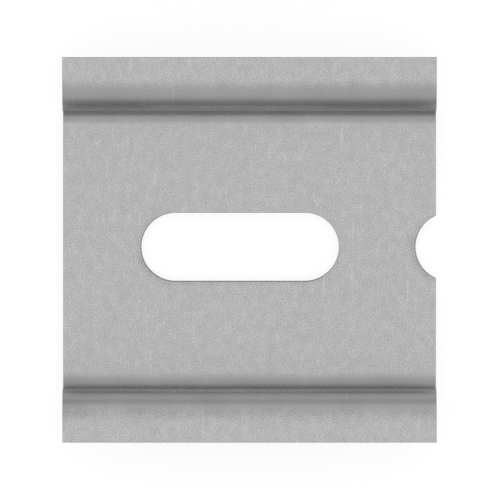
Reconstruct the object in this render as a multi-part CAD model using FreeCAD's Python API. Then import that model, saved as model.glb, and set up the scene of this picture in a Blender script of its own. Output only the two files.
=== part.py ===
import FreeCAD, Part
import math
import os

# A short cut length of slotted top-hat mounting rail, 35 mm wide and 7.5 mm high.
# It is one piece of galvanised steel strip: punched with a row of long slots, rolled
# to a top-hat section and cut to length. The cut at the far end falls inside a slot.
#
# The rail lies on its mounting face, with the open side of the channel up.
# X runs across the section, Y along the rail, and Z out of the mounting face.
# The origin is the middle of the mounting face. All sizes are in millimetres.

# Section: a flat web, two side walls and two flanges
channel_width = 25.3  # clear, between the side walls
flange_width = 4.85  # on its front, from the side wall's inner face to the slit edge
rail_height = 7.5  # from the mounting face to the flange fronts
strip_thickness = 1.0
web_bend_radius = 1.3  # inside the bend, from web to side wall
flange_bend_radius = 1.7  # inside the bend, from side wall to flange
slit_edge_rounding = 0.15
rail_width = channel_width + 2 * flange_width

# Row of slots along the middle of the web
slot_length = 18.0  # end to end, with full-round ends
slot_width = 6.2
slot_bridge = 7.0  # metal left between one slot and the next
slot_rim_rounding = 0.2  # drawn in by the punch, on the channel side
slot_pitch = slot_length + slot_bridge

# Cuts at the two ends
rail_length = 34.0
first_slot_start = 7.15  # from the near cut to the first slot

# How close an edge has to be to count as lying in a plane
plane_tolerance = 0.001


def rounded_outline(corners):
    """A closed wire in the XZ plane through corners of (x, z, radius), rounded by tangent arcs."""
    arcs = []
    for i, (x, z, radius) in enumerate(corners):
        corner = FreeCAD.Vector(x, 0, z)
        previous_x, previous_z, _ = corners[i - 1]
        next_x, next_z, _ = corners[(i + 1) % len(corners)]
        to_previous = (FreeCAD.Vector(previous_x, 0, previous_z) - corner).normalize()
        to_next = (FreeCAD.Vector(next_x, 0, next_z) - corner).normalize()
        half_angle = to_previous.getAngle(to_next) / 2
        to_centre = (to_previous + to_next).normalize()
        tangent_length = radius / math.tan(half_angle)
        corner_to_arc = radius / math.sin(half_angle) - radius
        arcs.append(
            Part.Arc(
                corner + to_previous * tangent_length,
                corner + to_centre * corner_to_arc,
                corner + to_next * tangent_length,
            )
        )
    edges = []
    for arc, next_arc in zip(arcs, arcs[1:] + arcs[:1]):
        edges.append(arc.toShape())
        edges.append(Part.LineSegment(arc.EndPoint, next_arc.StartPoint).toShape())
    return Part.Wire(edges)


def top_hat_section():
    """The face of the rail's section, at Y = 0."""
    wall_inner = channel_width / 2
    wall_outer = wall_inner + strip_thickness
    slit_edge = rail_width / 2
    flange_back = rail_height - strip_thickness
    right_half = [
        (wall_outer, 0, web_bend_radius + strip_thickness),
        (wall_outer, flange_back, flange_bend_radius),
        (slit_edge, flange_back, slit_edge_rounding),
        (slit_edge, rail_height, slit_edge_rounding),
        (wall_inner, rail_height, flange_bend_radius + strip_thickness),
        (wall_inner, strip_thickness, web_bend_radius),
    ]
    left_half = [(-x, z, radius) for x, z, radius in reversed(right_half)]
    return Part.Face(rounded_outline(right_half + left_half))


def slot_outline(start):
    """A slot's outline on the mounting face, along Y from its tip at start."""
    radius = slot_width / 2
    near = start + radius
    far = start + slot_length - radius
    near_arc = Part.Arc(
        FreeCAD.Vector(radius, near, 0),
        FreeCAD.Vector(0, near - radius, 0),
        FreeCAD.Vector(-radius, near, 0),
    )
    far_arc = Part.Arc(
        FreeCAD.Vector(-radius, far, 0),
        FreeCAD.Vector(0, far + radius, 0),
        FreeCAD.Vector(radius, far, 0),
    )
    left_side = Part.LineSegment(near_arc.EndPoint, far_arc.StartPoint)
    right_side = Part.LineSegment(far_arc.EndPoint, near_arc.StartPoint)
    return Part.Wire([curve.toShape() for curve in (near_arc, left_side, far_arc, right_side)])


def slot_rim(strip, start):
    """The edges round the slot that begins at start, on the channel side of the web."""
    rim = []
    for edge in strip.Edges:
        box = edge.BoundBox
        on_channel_floor = (
            abs(box.ZMin - strip_thickness) < plane_tolerance
            and abs(box.ZMax - strip_thickness) < plane_tolerance
        )
        within_slot = (
            max(-box.XMin, box.XMax) < slot_width / 2 + plane_tolerance
            and box.YMin > start - plane_tolerance
            and box.YMax < start + slot_length + plane_tolerance
        )
        if on_channel_floor and within_slot:
            rim.append(edge)
    return rim


def punched(strip, start):
    """The strip with one more slot, whose rim is rounded on the channel side."""
    slug = Part.Face(slot_outline(start)).extrude(FreeCAD.Vector(0, 0, strip_thickness))
    strip = strip.cut(slug)
    return strip.makeFillet(slot_rim_rounding, slot_rim(strip, start))


def slotted_rail():
    """Stock from Y = 0 with every slot whole, cut to length and set about the origin."""
    slot_count = math.ceil((rail_length - first_slot_start) / slot_pitch)
    stock_length = first_slot_start + slot_count * slot_pitch
    stock = top_hat_section().extrude(FreeCAD.Vector(0, stock_length, 0))
    for i in range(slot_count):
        stock = punched(stock, first_slot_start + i * slot_pitch)
    kept = Part.makeBox(
        rail_width, rail_length, rail_height, FreeCAD.Vector(-rail_width / 2, 0, 0)
    )
    rail = stock.common(kept)
    rail.translate(FreeCAD.Vector(0, -rail_length / 2, 0))
    return rail


os.makedirs("parts", exist_ok=True)
rail = slotted_rail()
rail.exportStep("parts/rail.step")
print("rail:", len(rail.Solids), "solid, valid", rail.isValid(), "volume", round(rail.Volume, 2))
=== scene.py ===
import math
from types import SimpleNamespace
import bpy
from mathutils import Matrix, Vector


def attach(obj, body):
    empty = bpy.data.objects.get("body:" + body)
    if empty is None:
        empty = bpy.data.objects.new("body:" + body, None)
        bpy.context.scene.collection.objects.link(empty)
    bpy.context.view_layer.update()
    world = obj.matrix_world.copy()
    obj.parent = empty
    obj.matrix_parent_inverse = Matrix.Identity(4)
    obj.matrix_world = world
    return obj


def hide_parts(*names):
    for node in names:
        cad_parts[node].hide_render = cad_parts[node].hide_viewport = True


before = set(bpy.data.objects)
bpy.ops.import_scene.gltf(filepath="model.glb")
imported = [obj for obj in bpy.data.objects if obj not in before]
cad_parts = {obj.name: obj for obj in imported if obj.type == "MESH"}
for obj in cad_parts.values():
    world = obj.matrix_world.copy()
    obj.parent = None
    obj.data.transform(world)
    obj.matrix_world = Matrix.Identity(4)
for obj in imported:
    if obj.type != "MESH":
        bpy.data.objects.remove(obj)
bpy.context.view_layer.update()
mm = 0.001


# Shorthand for node trees

class Wire:  # one value in a node tree, so that a sum of wires reads as a sum

    def __init__(self, bench, socket):
        self.bench = bench
        self.socket = socket

    def __add__(self, other):
        return self.bench.calc("ADD", self, other)

    def __radd__(self, other):
        return self.bench.calc("ADD", other, self)

    def __sub__(self, other):
        return self.bench.calc("SUBTRACT", self, other)

    def __rsub__(self, other):
        return self.bench.calc("SUBTRACT", other, self)

    def __mul__(self, other):
        return self.bench.calc("MULTIPLY", self, other)

    def __truediv__(self, other):
        return self.bench.calc("DIVIDE", self, other)

    def __lt__(self, other):
        return self.bench.calc("LESS_THAN", self, other)

    def __gt__(self, other):
        return self.bench.calc("GREATER_THAN", self, other)


class Bench:  # places nodes in one tree and joins them

    def __init__(self, tree):
        self.tree = tree

    def feed(self, socket, value):
        if isinstance(value, Wire):
            value = value.socket
        if isinstance(value, bpy.types.NodeSocket):
            self.tree.links.new(value, socket)
        else:
            socket.default_value = value

    def node(self, kind, inputs=None, **settings):
        node = self.tree.nodes.new(kind)
        for name, value in settings.items():
            setattr(node, name, value)
        for key, value in (inputs or {}).items():
            self.feed(node.inputs[key], value)
        return node

    def wire(self, kind, inputs=None, output=0, **settings):
        return Wire(self, self.node(kind, inputs, **settings).outputs[output])

    def calc(self, operation, first, second=0.0, third=0.0):
        return self.wire("ShaderNodeMath", {0: first, 1: second, 2: third}, operation=operation)

    def sin(self, angle):
        return self.calc("SINE", angle)

    def cos(self, angle):
        return self.calc("COSINE", angle)

    def least(self, first, second):
        return self.calc("MINIMUM", first, second)

    def most(self, first, second):
        return self.calc("MAXIMUM", first, second)

    def limit(self, value, lowest=0.0, highest=1.0):
        return self.most(self.least(value, highest), lowest)

    def ramp(self, value, start, end, low=0.0, high=1.0, kind="LINEAR"):
        inputs = {"Value": value, "From Min": start, "From Max": end, "To Min": low, "To Max": high}
        return self.wire("ShaderNodeMapRange", inputs, interpolation_type=kind)

    def split(self, vector):
        node = self.node("ShaderNodeSeparateXYZ", {0: vector})
        return [Wire(self, socket) for socket in node.outputs]

    def join(self, x, y, z):
        return self.wire("ShaderNodeCombineXYZ", {0: x, 1: y, 2: z})


def newGroup(name, treeKind, inputs, outputs):
    tree = bpy.data.node_groups.new(name, treeKind)
    for direction, sockets in (("INPUT", inputs), ("OUTPUT", outputs)):
        for label, kind, value in sockets:
            socket = tree.interface.new_socket(label, in_out=direction, socket_type="NodeSocket" + kind)
            if value is not None:
                socket.default_value = value
    bench = Bench(tree)
    start = bench.node("NodeGroupInput")
    end = bench.node("NodeGroupOutput")
    given = {label: Wire(bench, start.outputs[label]) for label, _, _ in inputs}
    return tree, bench, given, end


# Camera, as the photograph was taken: from straight above the open side, tipped a little towards -X

photoCamera = {
    "pixels": 500,
    "pixelsPerMm": 11.015,
    "aimAlong": 0.046,  # mm, along the rail from its middle
    "aimHeight": 7.5,
    "tiltDegrees": 1.5,
    "distance": 1400.0,
    "sensorWidth": 36.0,
    "clipStart": 0.1,  # m
    "clipEnd": 10.0,
}


def placeCamera():
    values = photoCamera
    tilt = math.radians(values["tiltDegrees"])
    back = Vector((-math.sin(tilt), 0, math.cos(tilt)))
    right = Vector((0, 1, 0))
    aim = Vector((0, values["aimAlong"], values["aimHeight"])) * mm
    pose = Matrix((right, back.cross(right), back)).transposed().to_4x4()
    pose.translation = aim + back * values["distance"] * mm
    lens = bpy.data.cameras.new("photoCamera")
    lens.sensor_width = values["sensorWidth"]
    lens.lens = lens.sensor_width * values["distance"] * values["pixelsPerMm"] / values["pixels"]
    lens.clip_start = values["clipStart"]
    lens.clip_end = values["clipEnd"]
    camera = bpy.data.objects.new("photoCamera", lens)
    camera.matrix_world = pose
    bpy.context.scene.collection.objects.link(camera)
    bpy.context.scene.camera = camera


# Studio: a wide soft light tent on a white table. The tent's brightness is given at twelve heights, from 0
# at the table's level to 1 overhead, for its -X side and for its +X side.

studio = {
    "tentHeights": (0.0, 0.06, 0.13, 0.22, 0.34, 0.5, 0.64, 0.77, 0.87, 0.94, 0.985, 1.0),
    "tentMinusX": (0.5, 0.55, 0.6, 0.6, 0.6, 0.55, 0.6, 0.7, 0.75, 0.75, 0.9, 1.1),
    "tentPlusX": (0.05, 0.05, 0.2, 0.4, 0.65, 0.7, 0.65, 0.65, 0.7, 0.8, 0.95, 1.1),
    "blend": 0.3,  # how far to each side of the middle the two sides mix
    "tableSize": 3.0,
    "tableGrey": 0.35,
    "tableGlow": 0.8,
    "tableGlowInMetal": 0.4,
}


def layRamp(bench, value, greys):
    heights = studio["tentHeights"]
    node = bench.node("ShaderNodeValToRGB", {"Fac": value})
    stops = node.color_ramp.elements
    for position in heights[1:-1]:
        stops.new(position)
    for stop, grey in zip(stops, greys):
        stop.color = (grey, grey, grey, 1)
    return Wire(bench, node.outputs["Color"])


def hangTent():
    values = studio
    tent = bpy.data.worlds.new("lightTent")
    bpy.context.scene.world = tent
    tent.use_nodes = True
    tent.node_tree.nodes.clear()
    bench = Bench(tent.node_tree)
    across, _, height = bench.split(bench.node("ShaderNodeTexCoord").outputs["Generated"])
    side = bench.ramp(across, -values["blend"], values["blend"], kind="SMOOTHSTEP")
    minusX = layRamp(bench, height, values["tentMinusX"])
    plusX = layRamp(bench, height, values["tentPlusX"])
    colourSockets = {0: side, 6: minusX, 7: plusX}  # the Mix node's factor and its two colours
    cloth = bench.wire("ShaderNodeMix", colourSockets, output=2, data_type="RGBA")
    lit = bench.node("ShaderNodeBackground", {"Color": cloth})
    bench.node("ShaderNodeOutputWorld", {0: lit.outputs[0]})


def paperGlow(bench, direct, mirrored):  # how bright the paper looks to the camera, and in metal or glass
    path = bench.node("ShaderNodeLightPath")
    camera = Wire(bench, path.outputs["Is Camera Ray"])
    glossy = Wire(bench, path.outputs["Is Glossy Ray"])
    through = Wire(bench, path.outputs["Is Transmission Ray"])
    return camera * direct + (glossy + through) * mirrored


def whitePaper():
    values = studio
    paper = bpy.data.materials.new("whitePaper")
    paper.use_nodes = True
    paper.node_tree.nodes.clear()
    bench = Bench(paper.node_tree)
    grey = values["tableGrey"]
    matte = bench.node("ShaderNodeBsdfDiffuse", {"Color": (grey, grey, grey, 1)})
    strength = paperGlow(bench, values["tableGlow"], values["tableGlowInMetal"])
    glow = bench.node("ShaderNodeEmission", {"Strength": strength})
    both = bench.node("ShaderNodeAddShader", {0: matte.outputs[0], 1: glow.outputs[0]})
    bench.node("ShaderNodeOutputMaterial", {0: both.outputs[0]})
    return paper


def setStudio():
    bpy.context.scene.view_settings.view_transform = "Standard"
    hangTent()
    half = studio["tableSize"] / 2
    corners = [(-half, -half, 0), (half, -half, 0), (half, half, 0), (-half, half, 0)]
    mesh = bpy.data.meshes.new("whiteTable")
    mesh.from_pydata(corners, [], [(0, 1, 2, 3)])
    mesh.materials.append(whitePaper())
    table = bpy.data.objects.new("whiteTable", mesh)
    bpy.context.scene.collection.objects.link(table)


# The rail: a strip punched with a row of slots and rolled to a top-hat section. Half of it starts as a
# block of columns (across the strip), rows (along it) and layers (through it), which are then moved.

rolledStrip = {
    "Rail Length": 34.0,
    "Rail Width": 35.0,
    "Rail Height": 7.5,
    "Channel Width": 25.3,
    "Channel Offset": 0.085,  # towards +X, so one flange is a little wider than the other
    "Strip Thickness": 1.0,
    "Web Easing Radius": 1.6,  # next to the web, where the bend starts
    "Web Bend Radius": 1.06,  # next to the side wall
    "Flange Bend Radius": 1.02,
    "Flange Easing Radius": 2.2,  # next to the flange, where the bend runs out
    "Wall Lean": -0.115,  # over the rail's height, outwards
    "Web Easing Difference": 0.28,  # the rolls leave the +X side this far from the mean above, and the
    "Web Bend Difference": -0.26,  # -X side as far the other way
    "Flange Bend Difference": -0.52,
    "Flange Easing Difference": -0.04,
    "Wall Lean Difference": -0.13,
    "Slot Length": 18.0,
    "Slot Width": 6.2,
    "Slot Bridge": 7.0,
    "First Slot": 7.15,
    "Slot Rim Rounding": 0.12,
    "Slot Back Rounding": 0.04,
    "Slit Edge Rounding": 0.05,
    "Cut Edge Rounding": 0.03,
    "Slot Surround": 1.2,  # width of the ring of finer mesh round each slot
    "Draw In": 0.026,  # how far the punch pulls the rim down
    "Fracture Flare": 0.035,  # the slot opens this much where the metal tore
    "Die Clearance": 0.05,
    "Die Offset Across": 0.022,  # the punch sits a little off the die's middle, so one side of the
    "Die Offset Along": -0.027,  # rim is pulled down further than the other
    "Slot Row Offset": -0.12,  # of the whole row from the middle of the strip
}
punchedEdge = {
    "tornFrom": 0.4,  # share of the thickness, from the front face
    "tornFully": 0.62,
    "flareLeast": 0.55,  # share of the fracture flare that is there all the way round
    "flareUneven": 0.9,
    "tearScale": 1.6,
    "tearDetail": 3.0,
    "tearPerLayer": 0.5,
    "seedStep": 3.7,
    "drawFade": 4.0,  # the higher, the sooner the pulled-down rim levels out
}
stripBlock = {
    "slots": 2,
    "across": {
        "rim": 6, "ring": 9, "web": 18, "webBend": 22, "wall": 6, "flangeBend": 22, "flange": 8, "slit": 5},
    "along": {"bridge": 20, "nearArc": 22, "straight": 44, "farArc": 22},
    "cut": 4,  # rows at each cut
    "skin": 5,  # layers next to each face
    "core": 5,
    "skinDepth": 0.24,  # mm
    "ringCrowding": 1.5,  # the higher, the closer the rings stand next to a slot
    "coatedLayers": 2.6,  # the zinc is drawn over a slot's rim down to here
    "inside": 0.25,  # of a cell: a face's middle this far from the block's side isn't on it
    "hair": 0.001,  # margin for rounding where one stretch or slot ends and the next begins
    "weld": 0.002,  # mm between points that become one
}
easeTurn = math.pi / 4  # the easings make the first and the last 45 degrees of the section's turns


def edgeGroup():  # bends the square corner between two faces of the block into an arc
    tree, bench, given, end = newGroup(
        "roundedEdge", "GeometryNodeTree",
        [("Inset", "Float", 0.0), ("Depth", "Float", 0.0), ("Radius", "Float", 0.0)],
        [("Inset", "Float", None), ("Depth", "Float", None)])
    inset, depth, radius = given["Inset"], given["Depth"], given["Radius"]
    angle = ((inset - depth) / radius + 1.0) * (math.pi / 4)
    near = (inset < radius) * (depth < radius)
    bench.feed(end.inputs["Inset"], inset + near * (radius - radius * bench.cos(angle) - inset))
    bench.feed(end.inputs["Depth"], depth + near * (radius - radius * bench.sin(angle) - depth))
    return tree


def edgeZone(radius, count):  # the width that an edge's columns or rows take, one step past its rounding
    return radius * (count / (count - 1.0))


def blockSize():  # columns, rows and layers
    cells = stripBlock
    columns = sum(cells["across"].values())
    rows = cells["slots"] * sum(cells["along"].values()) + 2 * cells["cut"]
    return columns, rows, 2 * cells["skin"] + cells["core"]


def blockHalves(bench):  # the block once for each half of the strip, with the side that it goes to
    columns, rows, layers = blockSize()
    block = bench.node("GeometryNodeMeshCube", {
        "Size": (columns, rows, layers),
        "Vertices X": columns + 1, "Vertices Y": rows + 1, "Vertices Z": layers + 1})
    halves = bench.node("GeometryNodeJoinGeometry")
    for sign in (1.0, -1.0):
        half = bench.node(
            "GeometryNodeStoreNamedAttribute",
            {"Geometry": block.outputs["Mesh"], "Name": "side", "Value": sign},
            data_type="FLOAT", domain="POINT")
        bench.feed(halves.inputs[0], half.outputs[0])
    return halves.outputs[0]


def stretches(bench, value, counts):  # how far through each stretch of the block a place is, from 0 to 1
    parts = {}
    start = 0
    for name, count in counts.items():
        parts[name] = bench.ramp(value, start, start + count)
        start += count
    return parts


def blockPlace(bench, thickness):  # where a point lies in the block, as wires for the steps that move it
    cells = stripBlock
    size = blockSize()
    _, rows, layers = size
    at = SimpleNamespace()
    at.side = bench.wire("GeometryNodeInputNamedAttribute", {"Name": "side"}, data_type="FLOAT")
    position = bench.split(bench.node("GeometryNodeInputPosition").outputs[0])
    at.column, at.row, at.layer = [position[i] + size[i] / 2 for i in range(3)]
    at.across = stretches(bench, at.column, cells["across"])

    # Which slot a row belongs to, and how far along each stretch of the slot's outline it is
    slotRows = sum(cells["along"].values())
    inner = at.row - cells["cut"]
    number = bench.calc("CEIL", inner / slotRows - cells["hair"]) - 1.0
    at.slot = bench.limit(number, 0.0, cells["slots"] - 1.0)
    at.slotRow = inner - at.slot * slotRows
    at.along = stretches(bench, at.slotRow, cells["along"])
    at.nearCut = bench.ramp(at.row, 0.0, cells["cut"])
    at.farCut = bench.ramp(at.row, rows - cells["cut"], rows)

    # Depth below the front face, in finer steps near both faces
    skin, skinDepth = cells["skin"], cells["skinDepth"] * mm
    fromBack = bench.ramp(at.layer, 0.0, skin) * skinDepth
    middle = bench.ramp(at.layer, skin, skin + cells["core"]) * (thickness - 2 * skinDepth)
    fromFront = bench.ramp(at.layer, layers - skin, layers) * skinDepth
    at.depth = thickness - (fromBack + middle + fromFront)
    at.inFront = at.depth < thickness * 0.5
    at.nearDepth = bench.least(at.depth, thickness - at.depth)
    return at


def punchStrip(bench, given, at):  # the flat strip: its slots, its rounded edges and its two cuts
    cells = stripBlock
    values = punchedEdge
    edge = edgeGroup()
    thickness, length = given["Strip Thickness"], given["Rail Length"]
    nearArc, farArc, rim = at.along["nearArc"], at.along["farArc"], at.across["rim"]

    def rounded(inset, radius):  # the inset on the rounded edge, and how much deeper the point lies there
        node = bench.node("GeometryNodeGroup", node_tree=edge)
        for key, value in (("Inset", inset), ("Depth", at.nearDepth), ("Radius", radius)):
            bench.feed(node.inputs[key], value)
        return Wire(bench, node.outputs["Inset"]), Wire(bench, node.outputs["Depth"]) - at.nearDepth

    radius = given["Slot Width"] * 0.5
    straight = given["Slot Length"] - given["Slot Width"]
    pitch = given["Slot Length"] + given["Slot Bridge"]
    surround = given["Slot Surround"]
    cutZone = edgeZone(given["Cut Edge Rounding"], cells["cut"])

    # Where this slot starts, and how much of it and of its straight sides the far cut leaves
    slotStart = given["First Slot"] + at.slot * pitch - length * 0.5
    kept = length * 0.5 - slotStart - cutZone * (1.0 - at.farCut)
    sideLength = bench.most(bench.least(kept - radius, straight), 0.0)
    pastSide = bench.limit((kept - radius - straight) / radius)

    # The clearance between punch and die, which sets how far this part of the rim is pulled down
    facing = (farArc * pastSide - (1.0 - nearArc)) * (math.pi / 2)
    clearance = (given["Die Clearance"] + given["Die Offset Along"] * bench.sin(facing)
                 + given["Die Offset Across"] * bench.cos(facing) * at.side) / given["Die Clearance"]
    rimRounding = given["Slot Rim Rounding"] * clearance
    rimZone = edgeZone(rimRounding, cells["across"]["rim"])
    rimRadius = given["Slot Back Rounding"] + at.inFront * (rimRounding - given["Slot Back Rounding"])
    rimInset, rimDrop = rounded(rim * rimZone, rimRadius)
    at.slitZone = edgeZone(given["Slit Edge Rounding"], cells["across"]["slit"])
    at.slitInset, slitDrop = rounded((1.0 - at.across["slit"]) * at.slitZone, given["Slit Edge Rounding"])

    # The tear below the burnished band, where the slot is a little wider
    run = at.slot * pitch + radius * (math.pi / 2) * (nearArc + farArc * pastSide)
    run = run + at.along["straight"] * sideLength
    spot = bench.join(run / mm, at.layer * values["tearPerLayer"], given["Seed"] * values["seedStep"])
    tear = bench.wire("ShaderNodeTexNoise", {
        "Vector": spot, "Scale": values["tearScale"], "Detail": values["tearDetail"]})
    torn = bench.ramp(at.depth / thickness, values["tornFrom"], values["tornFully"], kind="SMOOTHSTEP")
    uneven = values["flareLeast"] + tear * values["flareUneven"]
    flare = (1.0 - rim) * torn * given["Fracture Flare"] * uneven

    # Slot outline: half circle, straight side, half circle, stopped at the far cut. The gap before it
    # reaches back to the ring of the slot before, or to the near cut.
    ringOut = bench.calc("POWER", at.across["ring"], cells["ringCrowding"])
    ringInset = rimInset + ringOut * (surround - rimZone) + flare
    ringRadius = radius + ringInset
    nearTurn = nearArc * bench.calc("ARCCOSINE", bench.limit((radius - kept) / ringRadius))
    farTurn = farArc * bench.calc("ARCSINE", bench.limit((kept - radius - straight) / ringRadius))
    first = at.slot < 0.5
    gap = (given["Slot Bridge"] - surround * 2.0
           + first * (given["First Slot"] - cutZone - given["Slot Bridge"] + surround))
    along = (slotStart + radius - ringRadius * bench.cos(nearTurn) + at.along["straight"] * sideLength
             + ringRadius * bench.sin(farTurn) - gap * (1.0 - at.along["bridge"])
             - cutZone * (1.0 - at.nearCut))
    at.outline = ringRadius * bench.sin(nearTurn) * bench.cos(farTurn)

    # The two cuts, and the depth with every rounding and the pulled-down rim. The drop is counted from
    # the nearer face, and the new depth from the front again.
    nearInset, nearDrop = rounded(along + length * 0.5, given["Cut Edge Rounding"])
    farInset, farDrop = rounded(length * 0.5 - along, given["Cut Edge Rounding"])
    at.y = bench.least(bench.most(along, nearInset - length * 0.5), length * 0.5 - farInset)
    drop = at.nearDepth + rimDrop + slitDrop + nearDrop + farDrop
    atSlot = at.along["bridge"] > 1.0 - cells["hair"]
    sunk = bench.calc("POWER", 1.0 - ringOut, values["drawFade"]) * (1.0 - at.depth / thickness) * atSlot
    at.newDepth = (thickness - drop + at.inFront * (drop + drop - thickness)
                   + sunk * clearance * given["Draw In"])


def rollStrip(bench, given, at):  # the section: web, bend, side wall, bend, flange
    thickness = given["Strip Thickness"]
    side = at.side
    part = at.across
    rise = given["Rail Height"] - thickness
    wallLean = given["Wall Lean"] + side * given["Wall Lean Difference"]
    turn = math.pi / 2 - bench.calc("ARCTANGENT", wallLean / rise)
    radii = []
    for kind in ("Web Easing", "Web Bend", "Flange Bend", "Flange Easing"):
        radii.append(given[kind + " Radius"] + side * given[kind + " Difference"] + thickness * 0.5)
    webEasing, webBend, flangeBend, flangeEasing = radii

    # How far each bend reaches, and what is left for the web, the wall and the flange between them
    easeSin, easeCos = math.sin(easeTurn), math.cos(easeTurn)
    turnSin, turnCos = bench.sin(turn), bench.cos(turn)
    bendRun, bendRise = turnSin - easeSin, easeCos - turnCos
    webRun = webEasing * easeSin + webBend * bendRun
    webRise = webEasing * (1.0 - easeCos) + webBend * bendRise
    flangeRun = flangeEasing * easeSin + flangeBend * bendRun
    flangeRise = flangeEasing * (1.0 - easeCos) + flangeBend * bendRise
    wall = (rise - webRise - flangeRise) / turnSin
    toMiddle = (rise * 0.5 - webRise) * turnCos / turnSin
    wallMiddle = given["Channel Width"] * 0.5 + side * given["Channel Offset"] + thickness * 0.5
    webEnd = wallMiddle - webRun - toMiddle
    flange = given["Rail Width"] * 0.5 - webEnd - webRun - wall * turnCos - flangeRun

    # How much of each bend lies between the web and this point
    easeIn = bench.ramp(part["webBend"], 0.0, 0.5) * easeTurn
    bendUp = bench.ramp(part["webBend"], 0.5, 1.0) * (turn - easeTurn)
    bendBack = bench.ramp(part["flangeBend"], 0.0, 0.5) * (turn - easeTurn)
    easeOut = bench.ramp(part["flangeBend"], 0.5, 1.0) * easeTurn
    afterUp, afterBack, afterOut = bendUp + easeTurn, turn - bendBack, easeTurn - easeOut
    webX = at.outline + part["web"] * (webEnd - at.outline)
    flangeX = (part["flange"] * (flange - at.slitZone) + part["slit"] * at.slitZone
               - (at.slitInset - (1.0 - part["slit"]) * at.slitZone))

    # The middle of the strip there, the point's own depth from it, and its place on the unrolled strip
    middleX = (webX + webEasing * bench.sin(easeIn) + webBend * (bench.sin(afterUp) - easeSin)
               + part["wall"] * wall * turnCos + flangeBend * (turnSin - bench.sin(afterBack))
               + flangeEasing * (easeSin - bench.sin(afterOut)) + flangeX)
    middleZ = (thickness * 0.5 + webEasing * (1.0 - bench.cos(easeIn))
               + webBend * (easeCos - bench.cos(afterUp)) + part["wall"] * wall * turnSin
               + flangeBend * (bench.cos(afterBack) - turnCos)
               + flangeEasing * (bench.cos(afterOut) - easeCos))
    heading = easeIn + bendUp - bendBack - easeOut
    out = thickness * 0.5 - at.newDepth
    x = middleX - out * bench.sin(heading)
    at.z = middleZ + out * bench.cos(heading)
    at.x = x * side + given["Slot Row Offset"] * (1.0 - part["web"])
    at.unrolled = (webX + webEasing * easeIn + webBend * bendUp + part["wall"] * wall
                   + flangeBend * bendBack + flangeEasing * easeOut + flangeX)


def rolledStripTree():
    cells = stripBlock
    columns, rows, layers = blockSize()
    lengths = [(label, "Float", value * mm) for label, value in rolledStrip.items()]
    others = [("Zinc", "Material", None), ("Sheared Steel", "Material", None), ("Seed", "Int", 4)]
    tree, bench, given, end = newGroup(
        "rolledStrip", "GeometryNodeTree",
        [("Geometry", "Geometry", None)] + lengths + others, [("Geometry", "Geometry", None)])
    halves = blockHalves(bench)
    at = blockPlace(bench, given["Strip Thickness"])
    punchStrip(bench, given, at)
    rollStrip(bench, given, at)

    # The block's faces between two slots, next to the middle of the strip, aren't there
    ringColumns = cells["across"]["rim"] + cells["across"]["ring"]
    between = (at.column < ringColumns) * (at.slotRow < cells["along"]["bridge"])
    punched = bench.node(
        "GeometryNodeDeleteGeometry", {"Geometry": halves, "Selection": between}, domain="FACE")

    # Faces that were punched, slit or cut, apart from the coated rim of a slot
    inside = cells["inside"]
    notSkin = (at.layer > inside) * (at.layer < layers - inside)
    bare = ((at.layer < layers - cells["coatedLayers"]) + (at.column > columns - inside)
            + (at.row < inside) + (at.row > rows - inside))
    marked = bench.node(
        "GeometryNodeStoreNamedAttribute",
        {"Geometry": punched.outputs[0], "Name": "sheared", "Value": notSkin * (bare > 0.5)},
        data_type="FLOAT", domain="FACE")

    # The place on the unrolled strip, which the materials follow
    onStrip = bench.join(at.unrolled * at.side, at.y, at.depth)
    strip = bench.node(
        "GeometryNodeStoreNamedAttribute",
        {"Geometry": marked.outputs[0], "Name": "strip", "Value": onStrip},
        data_type="FLOAT_VECTOR", domain="POINT")

    place = bench.join(at.x, at.y, at.z)
    moved = bench.node("GeometryNodeSetPosition", {"Geometry": strip.outputs[0], "Position": place})
    turned = bench.node("GeometryNodeFlipFaces", {"Mesh": moved.outputs[0], "Selection": at.side < 0.0})
    plain = bench.node("GeometryNodeRemoveAttribute", {"Geometry": turned.outputs[0], "Name": "side"})
    weld = cells["weld"] * mm
    closed = bench.node("GeometryNodeMergeByDistance", {"Geometry": plain.outputs[0], "Distance": weld})
    real = bench.node("GeometryNodeRealizeInstances", {"Geometry": closed.outputs[0]})
    coated = bench.node("GeometryNodeSetMaterial", {"Geometry": real.outputs[0], "Material": given["Zinc"]})
    isSheared = bench.wire("GeometryNodeInputNamedAttribute", {"Name": "sheared"}, data_type="FLOAT") > 0.5
    cut = bench.node("GeometryNodeSetMaterial", {
        "Geometry": coated.outputs[0], "Selection": isSheared, "Material": given["Sheared Steel"]})
    bench.feed(end.inputs["Geometry"], cut.outputs[0])
    return tree


def makeRail(zinc, sheared):
    holder = bpy.data.objects.new("railHolder", bpy.data.meshes.new("railSeed"))
    bpy.context.scene.collection.objects.link(holder)
    modifier = holder.modifiers.new("rolledStrip", "NODES")
    modifier.node_group = rolledStripTree()
    items = modifier.node_group.interface.items_tree
    sockets = {item.name: item.identifier for item in items if item.in_out == "INPUT"}
    for label, value in rolledStrip.items():
        modifier[sockets[label]] = value * mm
    modifier[sockets["Zinc"]] = zinc
    modifier[sockets["Sheared Steel"]] = sheared
    depsgraph = bpy.context.evaluated_depsgraph_get()
    shape = bpy.data.meshes.new_from_object(holder.evaluated_get(depsgraph))
    holder.modifiers.remove(modifier)
    bpy.data.objects.remove(holder)
    shape.name = "rolledRail"
    shape.materials.pop(index=0)  # the block's own empty slot
    shape.shade_smooth()
    rail = bpy.data.objects.new("rolledRail", shape)
    bpy.context.scene.collection.objects.link(rail)
    return rail


# Surface effects for the finishes: the grain is used by both, the hairlines by the zinc coat alone. All
# places and sizes in them are in millimetres on the unrolled strip: across it, along it, and down from the
# front face.

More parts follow.
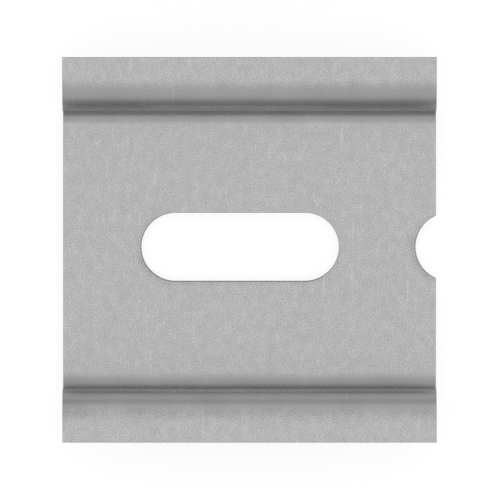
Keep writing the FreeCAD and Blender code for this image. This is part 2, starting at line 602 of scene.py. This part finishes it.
hairlineShape = {
    "margin": 0.2,  # of a lane's width that a line keeps clear on each side
    "shortest": 0.12,  # half of a line's length, as a share of the longest
    "lengthSpread": 0.3,
    "taperFrom": 0.3,  # of that half, from where the line fades to its end
    "faintest": 0.4,
    "laneShift": 9.0,  # lanes start at different places, so that their lines don't line up
    "laneDraw": 7.0,
}


def grainGroup():  # fine uneven grain, from about -1 to 1
    tree, bench, given, end = newGroup(
        "metalGrain", "ShaderNodeTree",
        [("Place", "Vector", (0, 0, 0)), ("Across", "Float", 0.1), ("Along", "Float", 0.1),
         ("Down", "Float", 0.1), ("Detail", "Float", 2.0), ("Roughness", "Float", 0.6),
         ("Sharpness", "Float", 3.0)],
        [("Grain", "Float", None)])
    across, along, down = bench.split(given["Place"])
    cells = bench.join(across / given["Across"], along / given["Along"], down / given["Down"])
    noise = bench.wire("ShaderNodeTexNoise", {
        "Vector": cells, "Scale": 1.0, "Detail": given["Detail"], "Roughness": given["Roughness"]})
    bench.feed(end.inputs["Grain"], bench.limit((noise - 0.5) * given["Sharpness"], -1.0, 1.0))
    return tree


def scratchGroup():  # sparse straight hairlines: one to a cell, at a chance place and of a chance length
    values = hairlineShape
    tree, bench, given, end = newGroup(
        "hairlines", "ShaderNodeTree",
        [("Lengthwise", "Float", 0.0), ("Sideways", "Float", 0.0), ("Longest", "Float", 3.0),
         ("Spacing", "Float", 1.0), ("Width", "Float", 0.05), ("Share", "Float", 0.3),
         ("Slant", "Float", 0.03), ("Batch", "Float", 0.0)],
        [("Line", "Float", None)])
    leaning = given["Sideways"] + given["Lengthwise"] * given["Slant"]
    lane = bench.calc("FLOOR", leaning / given["Spacing"])
    draw = bench.join(lane, given["Batch"], values["laneDraw"])
    shift = bench.wire("ShaderNodeTexWhiteNoise", {"Vector": draw})
    reach = given["Lengthwise"] / given["Longest"] + shift * values["laneShift"]
    cell = bench.calc("FLOOR", reach)
    chance = bench.node("ShaderNodeTexWhiteNoise", {"Vector": bench.join(lane, cell, given["Batch"])})
    place, size, strength = bench.split(chance.outputs["Color"])
    middle = leaning / given["Spacing"] - lane - values["margin"] - place * (1.0 - 2 * values["margin"])
    aside = bench.calc("ABSOLUTE", middle) * given["Spacing"]
    thin = bench.ramp(aside, 0.0, given["Width"], 1.0, 0.0)
    half = values["shortest"] + size * values["lengthSpread"]
    fromMiddle = bench.calc("ABSOLUTE", reach - cell - 0.5)
    taper = bench.ramp(fromMiddle, half * values["taperFrom"], half, 1.0, 0.0)
    there = Wire(bench, chance.outputs["Value"]) < given["Share"]
    shine = values["faintest"] + strength * (1.0 - values["faintest"])
    bench.feed(end.inputs["Line"], thin * taper * there * shine)
    return tree


def placeGroup(bench, tree, **inputs):
    node = bench.node("ShaderNodeGroup", node_tree=tree)
    for key, value in inputs.items():
        bench.feed(node.inputs[key], value)
    return Wire(bench, node.outputs[0])


def newFinish(name, roughness):
    material = bpy.data.materials.new(name)
    material.use_nodes = True
    shader = material.node_tree.nodes["Principled BSDF"]
    shader.inputs["Metallic"].default_value = 1
    shader.inputs["Roughness"].default_value = roughness
    bench = Bench(material.node_tree)
    onStrip = bench.node("ShaderNodeAttribute", attribute_name="strip").outputs["Vector"]
    place = bench.wire("ShaderNodeVectorMath", {0: onStrip, "Scale": 1 / mm}, operation="SCALE")
    return material, shader, bench, place


def finishSurface(bench, shader, tone, roughness, height, relief):
    bench.feed(shader.inputs["Base Color"], bench.join(tone, tone, tone))
    bench.feed(shader.inputs["Roughness"], roughness)
    bump = bench.node("ShaderNodeBump", {"Height": height, "Strength": 1.0, "Distance": relief * mm})
    bench.feed(shader.inputs["Normal"], bump.outputs[0])


# Zinc coat: bright and neutral, with a fine speckle, soft clouds and a few hairlines

zincCoat = {
    "grey": 0.503,
    "roughness": 0.25,
    "roughnessSpread": 0.03,
    "lobe": 0.85,  # the rolled grain spreads light across the rail more than along it
    "lobeTurn": 0.25,
    "speckle": {"Across": 0.105, "Along": 0.084, "Down": 0.3},
    "speckleDepth": 0.58,
    "cloud": {"Across": 0.975, "Along": 0.75, "Down": 3.0, "Detail": 3.0},
    "cloudDepth": 0.15,
    "streak": {"Across": 1.1, "Along": 0.12, "Down": 0.3},
    "streakDepth": 0.12,  # strongest in the lighter clouds
    "streakEverywhere": 0.5,
    "drift": {"Across": 5.25, "Along": 3.5, "Down": 9.0, "Detail": 1.0},
    "driftDepth": 0.065,
    "hairs": {"Longest": 4.0, "Spacing": 1.3, "Width": 0.11, "Share": 0.16},
    "hairShine": 0.2,
    "rollLines": {
        "Longest": 30.0, "Spacing": 0.7, "Width": 0.16, "Share": 0.5, "Slant": 0.002, "Batch": 5.0},
    "rollLineDepth": 0.04,
    "paintedBendShading": (  # painted shade and painted highlights along the bends: mm from the strip's middle and to each side, and how much darker, or lighter below 0
        {"at": -16.8, "reach": 0.5, "paintedDarkening": 0.28},
        {"at": -12.55, "reach": 0.3, "paintedDarkening": -0.16},
        {"at": 17.97, "reach": 0.2, "paintedDarkening": -0.15},
        {"at": 19.015, "reach": 0.35, "paintedDarkening": 0.17},
        {"at": 20.13, "reach": 0.75, "paintedDarkening": 0.1},
    ),
    "rolledSmooth": 0.95,  # share of the speckle that the forming rolls press out of the bends
    "pressBefore": 0.3,  # mm: the rolls start to press this far before the first bend
    "pressWithin": 1.0,
    "pressFade": 1.5,
    "relief": 0.001,
    "cloudRelief": 2.0,
    "hairRelief": 3.0,
}


def bendMask(bench, across):  # 1 where the rolls pressed the strip: from the web's bend to the flange's
    sizes = rolledStrip
    values = zincCoat
    half = sizes["Strip Thickness"] / 2
    bends = sizes["Web Bend Radius"] + sizes["Flange Bend Radius"] + 2 * half
    easings = sizes["Web Easing Radius"] + sizes["Flange Easing Radius"] + 2 * half
    easeRun = math.sin(easeTurn)
    webEasing, webBend = sizes["Web Easing Radius"] + half, sizes["Web Bend Radius"] + half
    webFlat = sizes["Channel Width"] / 2 + half - webEasing * easeRun - webBend * (1 - easeRun)
    wall = sizes["Rail Height"] - 2 * half - bends * easeRun - easings * (1 - easeRun)
    flangeFlat = webFlat + wall + (bends + easings) * easeTurn
    away = bench.calc("ABSOLUTE", across)
    start, full = webFlat - values["pressBefore"], webFlat + values["pressWithin"]
    into = bench.ramp(away, start, full, kind="SMOOTHSTEP")
    outOf = bench.ramp(away, flangeFlat - values["pressFade"], flangeFlat, 1.0, 0.0, kind="SMOOTHSTEP")
    return into * outOf


def paintedBendShading(bench, across):  # painted shade and painted highlights: lines all along the bends that darken, or below 0 lighten, the coat's colour
    paintedDarkening = 0.0
    for mark in zincCoat["paintedBendShading"]:
        away = bench.calc("ABSOLUTE", across - mark["at"])
        paintedDarkening = bench.ramp(away, 0.0, mark["reach"], mark["paintedDarkening"], 0.0, kind="SMOOTHSTEP") + paintedDarkening
    return paintedDarkening


def zincMaterial(grain, scratches):
    values = zincCoat
    material, shader, bench, place = newFinish("zincCoat", values["roughness"])
    across, along, _ = bench.split(place)
    pressed = bendMask(bench, across)
    loose = 1.0 - pressed * values["rolledSmooth"]
    speckle = placeGroup(bench, grain, Place=place, **values["speckle"])
    cloud = placeGroup(bench, grain, Place=place, **values["cloud"])
    streak = placeGroup(bench, grain, Place=place, **values["streak"])
    drift = placeGroup(bench, grain, Place=place, **values["drift"])
    hairs = placeGroup(bench, scratches, Lengthwise=across, Sideways=along, **values["hairs"])
    rolled = placeGroup(bench, scratches, Lengthwise=along, Sideways=across, **values["rollLines"])
    brushed = streak * values["streakDepth"] * (values["streakEverywhere"] + cloud)
    # the bend lines taken off at the end are painted shade, and painted highlights where their value is
    # below 0
    shade = ((speckle * values["speckleDepth"] + brushed + cloud * values["cloudDepth"]) * loose
             + drift * values["driftDepth"] + hairs * values["hairShine"]
             - rolled * values["rollLineDepth"] * pressed - paintedBendShading(bench, across))
    tone = bench.calc("EXPONENT", shade) * values["grey"]
    roughness = (cloud + drift) * loose * values["roughnessSpread"] + values["roughness"]
    height = (speckle + cloud * values["cloudRelief"]) * loose - hairs * values["hairRelief"]
    finishSurface(bench, shader, tone, roughness, height, values["relief"])
    shader.inputs["Anisotropic"].default_value = values["lobe"]
    shader.inputs["Anisotropic Rotation"].default_value = values["lobeTurn"]
    bench.feed(shader.inputs["Tangent"], bench.join(0.0, 1.0, 0.0))
    return material


# Bare steel where the strip was punched and cut: a smooth burnished band at the front, then a torn one

shearedSteel = {
    "burnished": 0.42,
    "torn": 0.26,
    "burnishedRoughness": 0.28,
    "tornRoughness": 0.55,
    "bandEnd": 0.42,  # mm below the front face
    "bandUneven": 0.07,
    "bandWave": {"Across": 0.8, "Along": 0.8, "Down": 20.0},
    "tearStart": -0.02,  # mm from the band's end
    "tearEnd": 0.03,
    "drag": {"Across": 0.05, "Along": 0.05, "Down": 1.2},
    "dragDepth": 0.2,
    "dragLostInTear": 0.5,
    "dragRoughness": 0.05,
    "dragRelief": 0.3,
    "crumb": {"Across": 0.12, "Along": 0.12, "Down": 0.1, "Detail": 4.0},
    "crumbDepth": 0.3,
    "relief": 0.012,
}


def shearedMaterial(grain):
    values = shearedSteel
    material, shader, bench, place = newFinish("shearedSteel", values["tornRoughness"])
    _, _, down = bench.split(place)
    drag = placeGroup(bench, grain, Place=place, **values["drag"])
    crumb = placeGroup(bench, grain, Place=place, **values["crumb"])
    wave = placeGroup(bench, grain, Place=place, **values["bandWave"])
    edge = down + wave * values["bandUneven"] - values["bandEnd"]
    torn = bench.ramp(edge, values["tearStart"], values["tearEnd"], kind="SMOOTHSTEP")
    grey = bench.ramp(torn, 0.0, 1.0, values["burnished"], values["torn"])
    dragged = drag * values["dragDepth"] * (1.0 - torn * values["dragLostInTear"])
    tone = grey * (1.0 + dragged + crumb * torn * values["crumbDepth"])
    roughness = bench.ramp(torn, 0.0, 1.0, values["burnishedRoughness"], values["tornRoughness"])
    roughness = roughness + drag * values["dragRoughness"]
    height = drag * values["dragRelief"] + crumb * torn
    finishSurface(bench, shader, tone, roughness, height, values["relief"])
    return material


placeCamera()
setStudio()
print("camera and light tent are set")
grain = grainGroup()
zinc = zincMaterial(grain, scratchGroup())
sheared = shearedMaterial(grain)
print("zinc coat and sheared steel are ready")
rail = makeRail(zinc, sheared)
print("rail:", len(rail.data.polygons), "faces")

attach(rail, "root")
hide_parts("rail")
